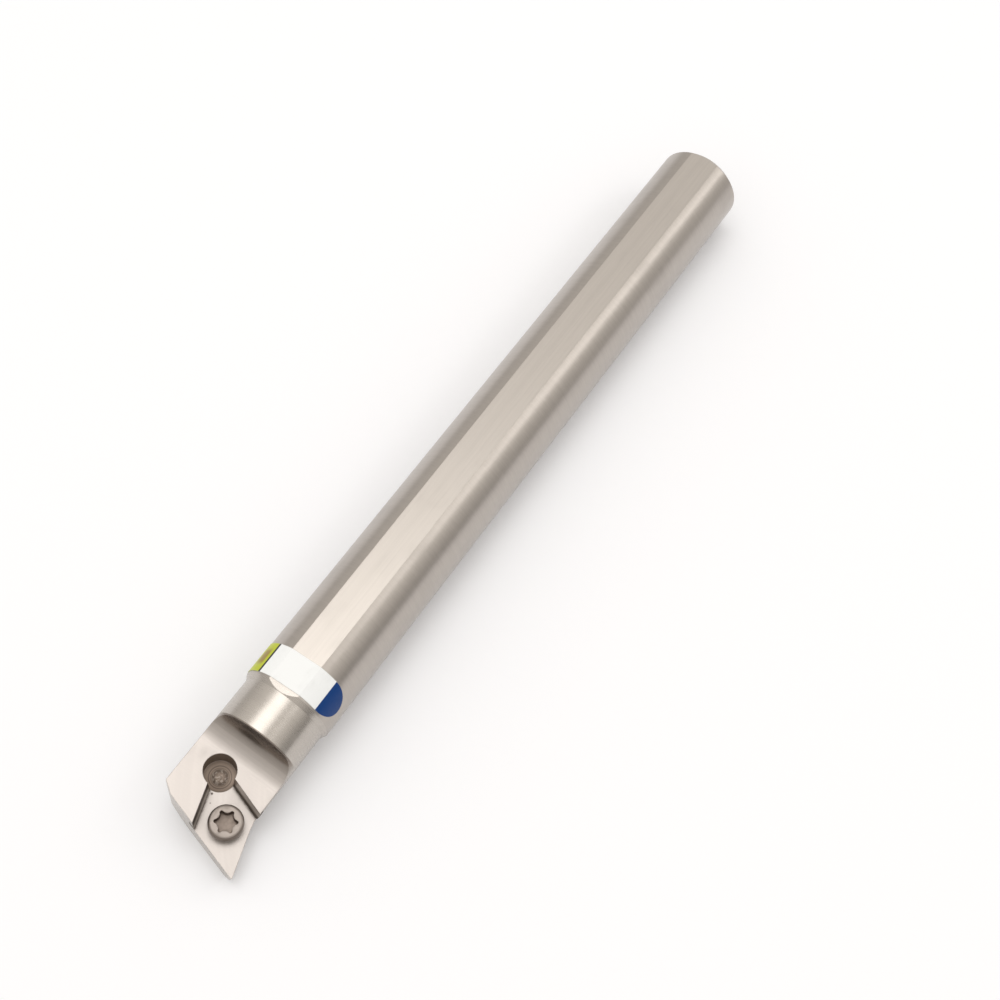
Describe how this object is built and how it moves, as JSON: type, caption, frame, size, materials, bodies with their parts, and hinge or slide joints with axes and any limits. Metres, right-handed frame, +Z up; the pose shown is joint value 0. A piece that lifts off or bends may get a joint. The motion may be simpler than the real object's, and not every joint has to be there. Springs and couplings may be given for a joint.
{
  "type": "boring bar",
  "caption": "Right-hand steel boring bar: round shank with two flats, slimmer neck, and a head with an empty insert pocket and its countersunk clamp screw.",
  "frame": {"origin": "centre of the shank's rear face, on the shank's axis", "axes": "+X along the shank towards the head, +Y towards the cutting side, +Z up, square to the shank's top flat"},
  "size_m": [0.159, 0.0173, 0.0151],
  "materials": {
    "steel": "ground and milled steel, satin",
    "screw_steel": "hardened steel, satin",
    "label_film": "printed film, white with coloured ends"
  },
  "bodies": {
    "bar": {"boring_bar": "steel", "label": "label_film"},
    "screw": {"clamp_screw": "screw_steel"}
  },
  "joints": [
    {"name": "screw_travel", "type": "slide", "parent": "bar", "child": "screw", "axis": [0, 0.1392, 0.9903], "range_m": [0, 0.004]}
  ]
}
